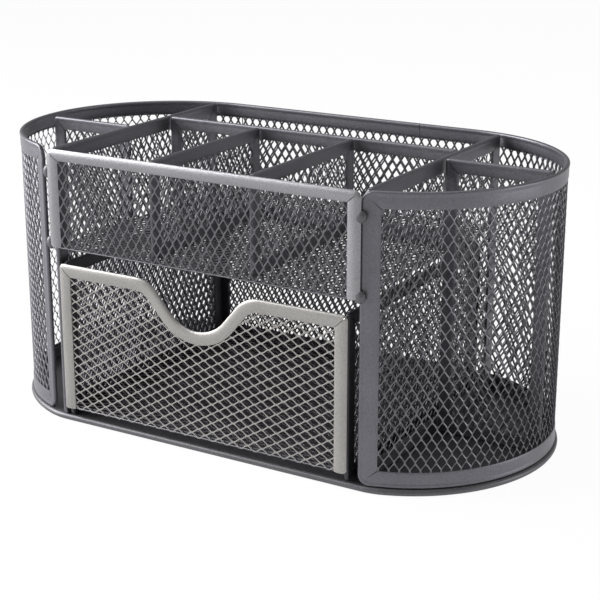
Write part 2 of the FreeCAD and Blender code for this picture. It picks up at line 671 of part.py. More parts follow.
def tray_front():
    """The tray's front mesh, with a channel over its top and down its two sides."""
    frame = channel_frame("tray_front_frame", "tray_front_width", "tray_frame_height", "tray_band",
                          "tray_top_band", open_below=True)
    put(frame, "-sizes.tray_front_left", "-fits.tray_frame_place", "fits.tray_frame_level")
    wide, high = value("tray_mesh_width"), value("tray_mesh_height")
    side, over = value(("tray_band", "mesh_inset")), value(("tray_top_band", "mesh_inset"))
    strand = value("mesh_strand")
    gaps = gap_wires(side, strand, wide - side, high - over, GAPS["tray_front"])
    mesh = add_mesh("tray_front_mesh", mesh_solid(rectangle_wire(0, 0, wide, high), gaps))
    put(mesh, "fits.mesh_inset - sizes.tray_front_left", "-fits.tray_frame_place",
        "fits.tray_floor_height")


def tray_floor():
    """The tray's mesh floor, which runs to the back wall over the drawer."""
    wide, deep = value("tray_floor_width"), value("tray_floor_depth")
    strand = value("mesh_strand")
    gaps = gap_wires(strand, strand, wide - strand, deep - strand, GAPS["tray_floor"])
    mesh = add_mesh("tray_floor_mesh", mesh_solid(rectangle_wire(0, 0, wide, deep), gaps))
    put(mesh, "-fits.tray_floor_half", "-fits.tray_floor_front",
        "fits.tray_floor_height + sizes.mesh_thickness / 2", Rotation(Vector(1, 0, 0), -90))


def weld_beads():
    """The beads that hold the tray's frame to the wall, two on each side."""
    beads = []
    for side, sign, across, deep in (("left", "-", "fits.left_weld_half", "sizes.left_weld_depth"),
                                     ("right", "", "sizes.weld_radius", "sizes.weld_radius")):
        for level in ("upper_weld_level", "tray_frame_level"):
            bead = doc.addObject("Part::Ellipsoid", "bead")
            bead.setExpression("Radius1", "sizes.weld_half_length")
            bead.setExpression("Radius2", across)
            bead.setExpression("Radius3", deep)
            put(bead, sign + "fits.%s_weld_x" % side, "-fits.%s_weld_y" % side, "fits." + level)
            beads.append(bead)
    group = doc.addObject("Part::Compound", "weld_beads")
    group.Links = beads
    add_node(group, "weld_beads")


# The drawer

def notch_points(inset):
    """The notch's right half, from its bottom up: ends and middles of an arc, a slope, an arc."""
    angle = math.radians(value("notch_slope_angle"))
    high, half = value("drawer_front_height"), value("notch_half_width")
    bottom = value("notch_bottom_radius")
    shoulder = value("notch_shoulder_radius")
    bottom_centre = Vector(0, 0, high - value("notch_depth") + bottom)
    shoulder_centre = Vector(half, 0, high - shoulder)
    points = []
    for turn in (0, angle / 2, angle):
        points.append(bottom_centre + Vector(math.sin(turn), 0, -math.cos(turn)) * (bottom + inset))
    for turn in (angle, angle / 2, 0):
        points.append(shoulder_centre + Vector(-math.sin(turn), 0, math.cos(turn)) * (shoulder - inset))
    return points


def drawer_front_wire(inset):
    """Outline of the drawer's front, every edge but the lower one moved in by an inset."""
    half = value("drawer_half_width") - inset
    high = value("drawer_front_height") - inset
    radius = max(value("drawer_corner_radius") - inset, 0)
    middle = radius * (1 - math.sqrt(0.5))
    points = notch_points(inset)
    points += [Vector(half - radius, 0, high), Vector(half - middle, 0, high - middle),
               Vector(half, 0, high - radius), Vector(half, 0, 0)]
    spans = [points[0:3], points[2:4], points[3:6], points[5:7], points[6:9], points[8:10]]
    right = [span for span in spans if (span[0] - span[-1]).Length > SAME_PLACE]
    left = [[Vector(-point.x, 0, point.z) for point in span] for span in right]
    lower_edge = [left[-1][-1], right[-1][-1]]
    round_trip = [lower_edge] + [span[::-1] for span in right[::-1]] + left
    curves = [Part.Arc(*span) if len(span) == 3 else Part.LineSegment(*span) for span in round_trip]
    return Part.Wire([curve.toShape() for curve in curves])


def drawer_front_plate(inset, thickness):
    """The front's outline as a plate, half its thickness each side of the XZ plane."""
    face = Part.Face(drawer_front_wire(inset))
    face.translate(Vector(0, -thickness / 2, 0))
    return face.extrude(Vector(0, thickness, 0))


def drawer_front():
    """The front's mesh, with a channel up its sides and over its notched top."""
    band = value("drawer_front_band")
    plate = drawer_front_plate(0, value("channel_thickness"))
    window = drawer_front_plate(band, value("channel_thickness"))
    slot = drawer_front_plate(value("channel_sheet"), value("slot_width"))
    frame = doc.addObject("Part::Feature", "drawer_front_frame")
    frame.Shape = plate.cut(window).cut(slot)
    add_node(frame, "drawer_front_frame")
    window_face = Part.Face(drawer_front_wire(band))
    half, strand = value("drawer_half_width"), value("mesh_strand")
    gaps = gap_wires(band - half, strand, half - band, value("drawer_front_height") - band,
                     GAPS["drawer_front"],
                     kept=lambda point: window_face.isInside(point, SAME_PLACE, False))
    outline = drawer_front_wire(value("mesh_inset"))
    mesh = add_mesh("drawer_front_mesh", mesh_solid(outline, gaps))
    for piece in (frame, mesh):
        put(piece, "-sizes.drawer_shift", "-fits.tray_frame_place", "sizes.drawer_front_base")


def drawer_sides_and_back():
    front_to_back = Rotation(Vector(0, 0, 1), 90)
    for side, sign in (("left", "-"), ("right", "")):
        place = (sign + "fits.drawer_side_place - sizes.drawer_shift", "-fits.drawer_side_front",
                 "fits.drawer_level")
        framed_panel("drawer_%s_side" % side, "drawer_side_length", "drawer_side_height",
                     "drawer_side_band", place, front_to_back)
    framed_panel("drawer_back", "drawer_width", "drawer_side_height", "drawer_side_band",
                 ("-fits.drawer_half_width - sizes.drawer_shift", "fits.drawer_back_place",
                  "fits.drawer_level"))


def drawer_floor():
    """The drawer's mesh floor, welded between the feet of its sides."""
    wide, deep = value("drawer_floor_width"), value("drawer_side_length")
    strand = value("mesh_strand")
    gaps = gap_wires(strand, strand, wide - strand, deep - strand, GAPS["drawer_floor"])
    mesh = add_mesh("drawer_floor_mesh", mesh_solid(rectangle_wire(0, 0, wide, deep), gaps))
    put(mesh, "-fits.drawer_floor_half - sizes.drawer_shift", "-fits.drawer_side_front",
        "sizes.drawer_front_base + sizes.mesh_thickness / 2", Rotation(Vector(1, 0, 0), -90))


# Checks and files

def check_document():
    """Stop if an object failed, or a piece is empty or not a valid solid."""
    for thing in doc.Objects:
        if "Invalid" in thing.State or "Error" in thing.State:
            raise RuntimeError("%s failed: %s" % (thing.Label, thing.State))
    for node in nodes:
        if node.Shape.isNull() or not node.Shape.isValid() or not node.Shape.Solids:
            raise RuntimeError("%s has no valid solid" % node.Label)


def write_parts():
    os.makedirs("parts", exist_ok=True)
    for node in nodes:
        node.Shape.exportStep(os.path.join("parts", node.Label + ".step"))
        box = node.Shape.BoundBox
        print("%-28s %d solid  x %7.2f %7.2f  y %7.2f %7.2f  z %7.2f %7.2f" % (
            node.Label, len(node.Shape.Solids), box.XMin, box.XMax, box.YMin, box.YMax,
            box.ZMin, box.ZMax))


fill_sheet()
work_out_fits()
base_plate()
outer_wall()
partitions()
end_dividers()
tray_front()
tray_floor()
tray_walls()
weld_beads()
drawer_front()
drawer_sides_and_back()
drawer_floor()
doc.recompute()
check_document()
write_parts()
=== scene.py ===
import math

import bpy
import numpy as np
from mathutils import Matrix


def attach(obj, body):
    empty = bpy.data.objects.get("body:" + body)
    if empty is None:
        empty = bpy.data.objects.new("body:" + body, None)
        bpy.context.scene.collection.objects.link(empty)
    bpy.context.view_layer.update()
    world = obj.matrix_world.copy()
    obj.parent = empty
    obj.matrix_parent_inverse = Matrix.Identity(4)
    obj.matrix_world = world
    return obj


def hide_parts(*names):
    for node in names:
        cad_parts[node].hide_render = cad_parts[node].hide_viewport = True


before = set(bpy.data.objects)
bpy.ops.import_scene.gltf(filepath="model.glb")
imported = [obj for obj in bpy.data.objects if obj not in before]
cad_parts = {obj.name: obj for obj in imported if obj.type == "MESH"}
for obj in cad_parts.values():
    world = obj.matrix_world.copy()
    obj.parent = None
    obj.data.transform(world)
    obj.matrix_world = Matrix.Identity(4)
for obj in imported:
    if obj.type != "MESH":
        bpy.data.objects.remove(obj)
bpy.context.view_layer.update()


# The base is one sheet of steel with its edge rolled under all round. It has two round ends and a
# straight back; the front is cut straight, just in front of the partitions. Everything is spot-welded
# to it. Graphite powder coat, drawn dark: partly its own colour, partly painted shade for its top,
# which lies in shadow.

def skin(name, points, quads, material, sharp_degrees=40.0):
    """A mesh object from points in millimetres and faces of four corners.

    Points in the same place are merged, faces with two equal corners become triangles, and all
    faces are turned over if the closed shape's volume comes out negative.
    """
    points = np.asarray(points, dtype=np.float64).reshape(-1, 3)
    grid = np.round(points * 2000.0).astype(np.int64)
    _, first, place = np.unique(grid, axis=0, return_index=True, return_inverse=True)
    points, quads = points[first], place.reshape(-1)[np.asarray(quads).reshape(-1, 4)]
    same = quads == np.roll(quads, -1, axis=1)
    whole = quads[same.sum(axis=1) == 0]
    whole = whole[(whole[:, 0] != whole[:, 2]) & (whole[:, 1] != whole[:, 3])]
    bent = quads[same.sum(axis=1) == 1]
    corners = bent[~same[same.sum(axis=1) == 1]].reshape(-1, 3)
    triangles = np.concatenate((whole[:, :3], whole[:, [0, 2, 3]], corners))
    a, b, c = (points[triangles[:, i]] for i in range(3))
    if np.einsum("ij,ij->", a, np.cross(b, c)) < 0.0:
        whole, corners = whole[:, ::-1], corners[:, ::-1]
    mesh = bpy.data.meshes.new(name)
    mesh.vertices.add(len(points))
    mesh.vertices.foreach_set("co", (points * 0.001).astype(np.float32).ravel())
    mesh.loops.add(whole.size + corners.size)
    loop_points = np.concatenate((whole.ravel(), corners.ravel()))
    mesh.loops.foreach_set("vertex_index", loop_points.astype(np.int32))
    mesh.polygons.add(len(whole) + len(corners))
    starts = np.concatenate((np.arange(len(whole)) * 4, whole.size + np.arange(len(corners)) * 3))
    mesh.polygons.foreach_set("loop_start", starts.astype(np.int32))
    mesh.polygons.foreach_set("use_smooth", np.ones(len(starts), dtype=bool))
    mesh.update(calc_edges=True)
    mesh.validate()
    mesh.set_sharp_from_angle(angle=math.radians(sharp_degrees))
    mesh.materials.append(material)
    piece = bpy.data.objects.new(name, mesh)
    bpy.context.scene.collection.objects.link(piece)
    return piece


def ring_faces(loops, stations, closed_loop, closed_path):
    """Faces of a grid whose point number is loop * stations + station."""
    rows = np.arange(loops if closed_loop else loops - 1)
    columns = np.arange(stations if closed_path else stations - 1)
    row, column = (part.ravel() for part in np.meshgrid(rows, columns, indexing="ij"))
    next_row, next_column = (row + 1) % loops, (column + 1) % stations
    return np.stack((row * stations + column, row * stations + next_column,
                     next_row * stations + next_column, next_row * stations + column), axis=1)


def linear(hex_colour, alpha=1.0):
    """An sRGB hex colour as the linear numbers that a shader takes."""
    parts = [int(hex_colour[i:i + 2], 16) / 255.0 for i in (0, 2, 4)]
    return [c / 12.92 if c <= 0.04045 else ((c + 0.055) / 1.055) ** 2.4 for c in parts] + [alpha]


def node(tree, kind, settings=None, **sockets):
    """Add a shader node, set its properties, and set or link its inputs."""
    made = tree.nodes.new(kind)
    for key, value in (settings or {}).items():
        setattr(made, key, value)
    for key, value in sockets.items():
        socket = made.inputs[int(key[1:])] if key[0] == "i" and key[1:].isdigit() else \
            made.inputs[key.replace("_", " ")]
        if isinstance(value, bpy.types.NodeSocket):
            tree.links.new(value, socket)
        else:
            socket.default_value = value
    return made


def powder_coat(name, dark, light, roughness, metallic):
    """Metallic powder coat on steel: sprayed dry and melted into a satin skin.

    Fine flakes make it a little uneven in tone, and the melted grains leave a soft pebbled relief.
    Real flakes are under 0.1 mm; they are drawn coarser, so that they show.
    """
    flake_mm, relief_mm, cloud_mm = 0.35, 0.02, 8.0
    flake_scale, cloud_scale = 500.0 / flake_mm, 480.0 / cloud_mm
    material = bpy.data.materials.new(name)
    material.use_nodes = True
    tree = material.node_tree
    tree.nodes.clear()
    place = node(tree, "ShaderNodeTexCoord").outputs["Object"]
    flakes = node(tree, "ShaderNodeTexNoise", Vector=place, Scale=flake_scale, Detail=3.0,
                  Roughness=0.6)
    cloud = node(tree, "ShaderNodeTexNoise", Vector=place, Scale=cloud_scale, Detail=2.0, Roughness=0.5)
    mixed = node(tree, "ShaderNodeMath", {"operation": "MULTIPLY_ADD"}, i0=cloud.outputs["Fac"], i1=0.35,
                 i2=flakes.outputs["Fac"])
    tone = node(tree, "ShaderNodeMapRange", Value=mixed.outputs[0], From_Min=0.4, From_Max=0.95)
    colour = node(tree, "ShaderNodeMix", {"data_type": "RGBA"}, Factor=tone.outputs["Result"])
    colour.inputs[6].default_value = linear(dark)
    colour.inputs[7].default_value = linear(light)
    rough = node(tree, "ShaderNodeMapRange", Value=flakes.outputs["Fac"], From_Min=0.3, From_Max=0.7,
                 To_Min=roughness - 0.05, To_Max=roughness + 0.05)
    bump = node(tree, "ShaderNodeBump", Height=flakes.outputs["Fac"], Strength=0.35,
                Distance=relief_mm / 1000.0)
    shader = node(tree, "ShaderNodeBsdfPrincipled", Base_Color=colour.outputs[2], Metallic=metallic,
                  Roughness=rough.outputs["Result"], Normal=bump.outputs["Normal"])
    node(tree, "ShaderNodeOutputMaterial", Surface=shader.outputs["BSDF"])
    return material


end_centre = 53.7
base_radius, base_front, base_height = 57.1, 55.2, 2.5
base_corner, rolled_radius, rolled_width, base_sheet = 25.0, 1.2, 2.0, 0.8


def base_outline(inset):
    """The base's edge moved in by an inset, from the front's middle round to the right.

    A straight run, a corner arc that touches the front line and the end's circle from inside, the
    end's circle, the straight back, and the same again on the left.
    """
    reach, corner = base_radius - inset, base_corner - min(inset, base_corner * 0.9)
    low = -(base_front - inset) + corner
    corner_x = end_centre + math.sqrt((reach - corner) ** 2 - low ** 2)
    touch = math.atan2(low, corner_x - end_centre)
    turn = np.linspace(-math.pi / 2, touch, 8)
    front = np.stack((corner_x + corner * np.cos(turn), low + corner * np.sin(turn)), axis=1)
    sweep = np.linspace(touch, math.pi / 2, 73)[1:]
    end = np.stack((end_centre + reach * np.cos(sweep), reach * np.sin(sweep)), axis=1)
    right = np.concatenate((front, end))
    return np.concatenate((right, right[::-1] * (-1.0, 1.0)))


half_height = base_height / 2
bend = np.linspace(0.0, math.pi, 9)
rise = np.round(np.cos(bend), 9)
rolled_insets = rolled_radius * (1 - np.sin(bend))
rolled_levels = half_height + rolled_radius * rise + (half_height - rolled_radius) * np.sign(rise)
insets = [rolled_width + 1.0, rolled_width, *rolled_insets, rolled_width, rolled_width]
underside = base_height - base_sheet
levels = [base_height, base_height, base_height, *rolled_levels, 0.0, underside, underside]
centre_ring = np.zeros_like(base_outline(0.0))
rings = [centre_ring] + [base_outline(edge_inset) for edge_inset in insets] + [centre_ring]
base_points = np.stack([np.column_stack((ring, np.full(len(ring), level)))
                        for ring, level in zip(rings, levels)])

# The base's coat: graphite, drawn darker than the wall's as painted shade for the base's top, which lies in
# shadow.
base_coat_darkened_as_shade = powder_coat("graphite_coat_darkened_as_shade", "565559", "6C6B6F", roughness=0.48, metallic=0.7)
base = skin("base", base_points, ring_faces(len(rings), len(rings[0]), False, True), base_coat_darkened_as_shade)
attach(base, "stand")
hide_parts("base_plate")


# The wall's mesh is expanded steel: a sheet slit in staggered rows and pulled open, which leaves
# diamond gaps 3.6 mm by 6.05 mm. The strands lie tilted, and run side by side for a short bond where
# they meet. One sheet runs from the right post round the back to the left post, its gaps upright.

gap_short, gap_long = 3.6, 6.05
strand_width, bond_length, bond_width, corner_fill = 0.56, 0.6, 0.76, 0.1
sheet_half, strand_tilt, bond_rise = 0.2, 0.17, 0.07
flat_share, flat_height, flat_lean, lean_run = 0.82, 0.85, 0.6, 0.35
sheet_inset = 0.7


def gap_cell(short, long, strand, tilt):
    """One gap and half of each strand round it: five loops of fourteen points, as across, along, out.

    The outer loops lie on the strands' middles: a diamond whose side corners are bonds, short runs
    along the gap's length. The inner loop is the gap's edge, half a strand further in, with its
    corners filled. The loops between carry the strand's flat top and underside most of the way out.
    The height falls from one side of each strand to the other, so that it lies tilted, and rises a
    little at the bonds.
    """
    side, top, half_bond = short / 2, long / 2 - bond_length / 2, bond_length / 2
    share = np.array((0.0, 1.0, 2.0, 3.0)) / 3.0
    middle = np.stack((side * (1 - share), half_bond + (top - half_bond) * share), axis=1)
    run = math.hypot(side, top - half_bond)
    inward = -np.array((top - half_bond, side)) / run
    edge = middle + inward * strand / 2
    edge[0] = (side - bond_width / 2, half_bond * 0.9)
    edge[3] = (0.0, top - strand * run / side / 2 - corner_fill)

    def all_round(quarter):
        """A quarter from the right side to the top, mirrored into a whole loop."""
        right_half = np.concatenate((quarter, quarter[2::-1] * (-1.0, 1.0)))
        return np.concatenate((right_half, -right_half))

    middle, edge = all_round(middle), all_round(edge)
    near = middle + (edge - middle) * flat_share
    lean = np.clip(edge[:, 0] / (lean_run * side), -1.0, 1.0) * tilt
    knot = bond_rise * all_round(np.array(((1.0, 0.0), (0.2, 0.0), (0.2, 0.0), (1.0, 0.0))))[:, 0]
    knot = np.abs(knot)
    flat, near_lean = sheet_half * flat_height, lean * flat_lean
    heights = (sheet_half + knot, flat + near_lean + knot / 2, lean,
               -flat + near_lean - knot / 2, -sheet_half - knot)
    return np.stack([np.column_stack((loop, np.zeros(len(loop)) + height))
                     for loop, height in zip((middle, near, edge, near, middle), heights)])


def gap_centres(low, high, short, long):
    """Centres of all the gaps that reach into a rectangle, in staggered rows from the point (0, 0)."""
    first = np.floor(np.array(low) / (short / 2, long / 2)) - 1
    last = np.ceil(np.array(high) / (short / 2, long / 2)) + 1
    i, j = np.meshgrid(np.arange(first[0], last[0] + 1), np.arange(first[1], last[1] + 1), indexing="ij")
    odd = (i + j) % 2 == 1
    centres = np.stack((i[odd] * short / 2, j[odd] * long / 2), axis=1)
    half = np.array((short / 2, long / 2)) * 0.999
    inside = np.all((centres + half > low) & (centres - half < high), axis=1)
    return centres[inside]


def expanded_sheet(name, low, high, lay, material, upright=True, kept=None, lean=1.0, strand=strand_width):
    """Expanded mesh over a rectangle of a surface; lay turns across, along, out into a place.

    Gaps that cross the rectangle's edge are pressed flat against it, where a channel or an edge bar
    covers them. Upright gaps are longer along than across.
    """
    cell = gap_cell(gap_short, gap_long, strand, strand_tilt * lean)
    loops, corners = cell.shape[:2]
    if upright:
        centres = gap_centres(low, high, gap_short, gap_long)
    else:
        centres = gap_centres(low[::-1], high[::-1], gap_short, gap_long)
    points = np.repeat(cell[None], len(centres), axis=0)
    points[..., :2] += centres[:, None, None, :]
    if not upright:
        points = points[..., [1, 0, 2]]
    if kept is not None:
        points = points[kept(points[:, 0, :, :2]).all(axis=1)]
    across = np.clip(points[..., 0], low[0], high[0])
    along = np.clip(points[..., 1], low[1], high[1])
    places = lay(across, along, points[..., 2])
    faces = ring_faces(loops, corners, False, True)
    quads = faces[None] + loops * corners * np.arange(len(points))[:, None, None]
    return skin(name, places, quads, material, sharp_degrees=50.0)


wall_radius, wall_low, wall_high, sheet_out = 55.4, 2.6, 107.0, 0.1
right_turn, left_turn = math.radians(169.8), math.radians(161.8)
right_reach, left_reach = end_centre + wall_radius * right_turn, -end_centre - wall_radius * left_turn


def on_wall(along, up, out):
    """A point of the wall: straight across the back, then round an end at the wall's radius.

    A point past the straight back turns by its way past it over the radius: x = c + r sin, y = r cos.
    """
    past = np.maximum(np.abs(along) - end_centre, 0.0)
    turn = past / wall_radius
    side = np.sign(along)
    straight = np.clip(along, -end_centre, end_centre)
    x = straight + side * (wall_radius + out) * np.sin(turn)
    y = (wall_radius + out) * np.cos(turn)
    return np.stack((x, y, up + np.zeros_like(x)), axis=-1)


def sheet_on_wall(along, up, out):
    """A point of the wall's mesh, which lies a little outside the middle of its channel."""
    return on_wall(along, up, out + sheet_out)


mesh_coat = powder_coat("graphite_coated_mesh", "605F64", "79787D", roughness=0.4, metallic=0.75)
wall_lean = -1.6
wall_sheets = (
    ("back_sheet", "back_mesh", -end_centre, end_centre),
    ("right_end_sheet", "right_end_mesh", end_centre, right_reach - sheet_inset),
    ("left_end_sheet", "left_end_mesh", left_reach + sheet_inset, -end_centre),
)
for name, replaced, first, last in wall_sheets:
    sheet = expanded_sheet(name, (first, wall_low + sheet_inset), (last, wall_high - sheet_inset),
                           sheet_on_wall, mesh_coat, lean=wall_lean)
    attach(sheet, "stand")
    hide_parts(replaced)


# The wall's edge is held in a channel of folded sheet, pressed flat on the mesh. It is one strip, slit
# and bent at the corners: the rim, the two posts beside the open front, and the foot. Its ends meet
# in a seam at the back, right of the middle. Graphite powder coat, lighter than the base's, which is
# darkened as painted shade.

channel_half, fold_depth, channel_sheet, slit_half, seam_half = 0.9, 0.62, 0.4, 0.16, 0.1
lip_run, settle_run = 1.0, 0.9
lip_steps, fold_steps = np.array((0.0, 0.2, 0.5, 1.0)), (2.6, 2.1, 1.7, 1.4, 1.15)


def smooth_step(x):
    """0 below 0, 1 above 1, and 3x^2 - 2x^3 between."""
    x = np.clip(x, 0.0, 1.0)
    return x * x * (3.0 - 2.0 * x)


def channel_side(band, settle, crown, tuck):
    """One side of a channel from its lip to its fold, as depth from the fold and height.

    The fold is a quarter of an ellipse. Past it the height settles by a smooth step, where the channel is
    pressed on the mesh, and the last millimetre before the lip is tucked in by the square of the
    way along it. The crown makes the side lower by the square of the way from its middle.
    """
    turn = np.linspace(0.0, math.pi / 2, 7)
    arc = np.stack((fold_depth * (1 - np.sin(turn)), channel_half * np.cos(turn)), axis=1)
    depth = np.concatenate((band - lip_steps, fold_steps))
    height = (channel_half - settle * smooth_step((depth - channel_half) / settle_run)
              - tuck * np.clip((depth - band) / lip_run + 1.0, 0.0, 1.0) ** 2)
    side = np.concatenate((np.stack((depth, height), axis=1), arc))
    from_middle = 2.0 * side[:, 0] / band - 1.0
    side[:, 1] *= 1.0 - crown * from_middle ** 2
    return side


def channel_profile(band, settle, crown=0.1, tuck=0.15, inner_band=None):
    """Cross-section of a channel: two sides over the fold, and the same moved in by the sheet."""
    outer = channel_side(band, settle, crown, tuck)
    inner = channel_side(inner_band or band, settle, crown, tuck)
    outside = np.concatenate((outer, inner[-2::-1] * (1.0, -1.0)))
    along = np.gradient(outside, axis=0)
    along[0], along[-1] = (-1.0, 0.0), (1.0, 0.0)
    along /= np.linalg.norm(along, axis=1)[:, None]
    inside = outside + channel_sheet * np.stack((-along[:, 1], along[:, 0]), axis=1)
    return np.concatenate((outside, inside[::-1]))


def mitred_end(corner, inward, other, radius, ratio=1.0, slit_from=1.0):
    """Stations from a mitred corner: half of its arc, less half of the slit between the two rails."""
    def stations(depth):
        left = np.maximum(radius - depth * (1 + ratio) / 2, 0.0)
        along_inward, along_other = (depth + left)[:, None] * inward, (depth * ratio + left)[:, None] * other
        centre = np.array(corner) + along_inward + along_other
        turn = np.linspace(math.pi / 4, 0.0, 5)
        ray = np.cos(turn)[:, None] * inward + np.sin(turn)[:, None] * other
        slit = slit_half * smooth_step(depth - slit_from)
        return centre[:, None] - left[:, None, None] * ray[None] + slit[:, None, None] * other
    return stations


def free_end(corner, inward, other, band, outer_rounding, inner_rounding):
    """Stations from a rail's free end, each of its two corners rounded by a quarter circle."""
    def stations(depth):
        lift = np.zeros_like(depth)
        for rounding, way in ((outer_rounding, depth), (inner_rounding, band - depth)):
            near = rounding - np.clip(way, 0.0, rounding)
            lift = np.maximum(lift, rounding - np.sqrt(rounding ** 2 - near ** 2))
        return (np.array(corner) + depth[:, None] * inward + lift[:, None] * other)[:, None]
    return stations


def seam_end(corner, inward, other):
    """Stations from a butt seam between two ends of the strip."""
    def stations(depth):
        place = np.array(corner) + depth[:, None] * inward + seam_half * np.array(other)
        return place[:, None]
    return stations


def rail(profile, lay, start, finish, middle=None, count=2):
    """A channel carried from one end to the other; gives its points and faces.

    Each point of the cross-section follows its own line, as deep under the fold as it lies. Between
    the two ends the line is straight, or follows a function of the depth.
    """
    depth, out = profile[:, 0], profile[:, 1]
    first, last = start(depth), finish(depth)[:, ::-1]
    if middle is None:
        share = np.linspace(0.0, 1.0, count + 2)[None, 1:-1, None]
        between = first[:, -1:] * (1 - share) + last[:, :1] * share
    else:
        between = middle(depth)
    line = np.concatenate((first, between, last), axis=1)
    points = lay(line[..., 0], line[..., 1], out[:, None] + np.zeros(line.shape[:2]))
    loops, stations = line.shape[:2]
    half = np.arange(loops // 2 - 1)
    cap = np.stack((half, half + 1, loops - 2 - half, loops - 1 - half), axis=1) * stations
    faces = (ring_faces(loops, stations, True, False), cap[:, ::-1], cap + stations - 1)
    return points.reshape(-1, 3), np.concatenate(faces)


def joined(rails):
    """Several rails as one set of points and faces."""
    starts = np.cumsum([0] + [len(points) for points, _ in rails])
    return (np.concatenate([points for points, _ in rails]),
            np.concatenate([faces + start for (_, faces), start in zip(rails, starts)]))


up, down = np.array((0.0, 1.0)), np.array((0.0, -1.0))
right, left = np.array((1.0, 0.0)), np.array((-1.0, 0.0))
wall_band, inner_wall_band, foot_corner, rim_corner, wall_settle = 6.0, 5.2, 4.0, 4.5, 0.22
right_post_band, left_post_band = 6.9, 4.2
seam, post_slit_from, end_steps = 30.0, 2.6, 76
graphite = powder_coat("graphite_powder_coat", "616066", "79787E", roughness=0.44, metallic=0.75)
wall_profile = channel_profile(wall_band, wall_settle, inner_band=inner_wall_band)
right_ratio, left_ratio = right_post_band / wall_band, left_post_band / wall_band
wall_rails = {}
for name, level, inward, corner in (
        ("rim", wall_high, down, rim_corner),
        ("foot", wall_low, up, foot_corner)):
    at_left = mitred_end((left_reach, level), inward, right, corner, left_ratio, post_slit_from)
    at_right = mitred_end((right_reach, level), inward, left, corner, right_ratio, post_slit_from)
    wall_rails[name] = joined([
        rail(wall_profile, on_wall, at_left, seam_end((seam, level), inward, left), count=2 * end_steps),
        rail(wall_profile, on_wall, seam_end((seam, level), inward, right), at_right, count=end_steps)])
for name, reach, inward, band, ratio in (
        ("right_post_channel", right_reach, left, right_post_band, right_ratio),
        ("left_post_channel", left_reach, right, left_post_band, left_ratio)):
    wall_rails[name] = rail(
        channel_profile(band, wall_settle), on_wall,
        mitred_end((reach, wall_low), inward, up, foot_corner, 1 / ratio, post_slit_from),
        mitred_end((reach, wall_high), inward, down, rim_corner, 1 / ratio, post_slit_from), count=8)
for name, replaced in (("rim", "rim_channel"), ("foot", "foot_channel"),
                       ("right_post_channel", "right_post"), ("left_post_channel", "left_post")):
    piece = skin(name, *wall_rails[name], graphite)
    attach(piece, "stand")
    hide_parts(replaced)


# Panels of the same mesh in the same channel divide the stand: two full-height partitions between
# the round ends and the middle, one divider across each end, and three dividers in the tray. Their
# channels are mitred at the corners and spot-welded where they meet.

x_axis, y_axis, z_axis = np.eye(3)


def flat(origin, across, along, out):
    """A function that lays across, along, out on a flat panel."""
    def lay(u, v, t):
        return (np.array(origin) + u[..., None] * across + v[..., None] * along + t[..., None] * out)
    return lay


panel_settle, panel_corner, panel_band, partition_band = 0.15, 1.5, 5.0, 5.6


def frame_rails(profile, lay, width, height):
    """Four mitred rails round a rectangle."""
    corners = ((0.0, 0.0), (width, 0.0), (width, height), (0.0, height))
    inwards = (up, left, down, right)
    rails = []
    for i in range(4):
        start = mitred_end(corners[i], inwards[i], inwards[i - 1], panel_corner)
        finish = mitred_end(corners[(i + 1) % 4], inwards[i], inwards[(i + 1) % 4], panel_corner)
        rails.append(rail(profile, lay, start, finish))
    return joined(rails)


def framed_panel(name, node_name, width, height, band, lay, body, channel_coat):
    """The two pieces of a panel: its mesh, and the channel round it."""
    sheet = expanded_sheet(name + "_sheet", (sheet_inset, sheet_inset),
                           (width - sheet_inset, height - sheet_inset), lay, mesh_coat)
    channel = skin(name + "_channel", *frame_rails(channel_profile(band, panel_settle), lay, width, height),
                   channel_coat)
    for piece, suffix, slot in ((sheet, "_mesh", "steel_mesh"), (channel, "_frame", "panel_channels")):
        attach(piece, body)
        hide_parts(node_name + suffix)


low_level, full_height, partition_x = 2.6, 104.4, 65.0
for side, sign, front, length in (("left", -1.0, -55.0, 107.22), ("right", 1.0, -52.22, 104.44)):
    framed_panel(side + "_partition_panel", side + "_partition", length, full_height, partition_band,
                 flat((sign * partition_x, front, low_level), y_axis, z_axis, sign * x_axis),
                 "stand", graphite)
for side, first, place, length in (("left", -104.11, -6.0, 37.76), ("right", 66.35, 3.0, 40.88)):
    framed_panel(side + "_end_panel", side + "_end_divider", length, full_height, panel_band,
                 flat((first, place, low_level), x_axis, z_axis, -y_axis), "stand", graphite)
tray_wall_level, tray_wall_height, tray_half, tray_back = 70.5, 36.5, 63.65, 18.0
framed_panel("middle_panel", "middle_divider", 2 * tray_half, tray_wall_height, panel_band,
             flat((-tray_half, tray_back, tray_wall_level), x_axis, z_axis, -y_axis), "stand", graphite)
short_length, short_front, short_x = 71.55, -54.9, 21.0
for side, sign in (("left", -1.0), ("right", 1.0)):
    framed_panel(side + "_tray_panel", side + "_tray_divider", short_length, tray_wall_height, panel_band,
                 flat((sign * short_x, short_front, tray_wall_level), y_axis, z_axis, sign * x_axis),
                 "stand", graphite)


# The tray's floor and front are one sheet of mesh, bent up along the front. A channel closes the
# front's top and both sides, and its lighter coat shows the same satin metal as the drawer's.

def edge_bar(start, finish, across, out, wide, thick):
    """A bar along the sheet's bent or cut edge: an ellipse of ten corners, closed at both ends."""
    corners = 10
    turn = np.arange(corners) * 2 * math.pi / corners
    ring = np.cos(turn)[:, None] * across * wide / 2 + np.sin(turn)[:, None] * out * thick / 2
    middle = np.broadcast_to(np.stack((np.array(start), np.array(finish))), (corners, 2, 3))
    body = middle + ring[:, None]
    points = np.stack((middle[:, 0], body[:, 0], body[:, 1], middle[:, 1]), axis=1)
    return points.reshape(-1, 3), ring_faces(corners, 4, True, False)


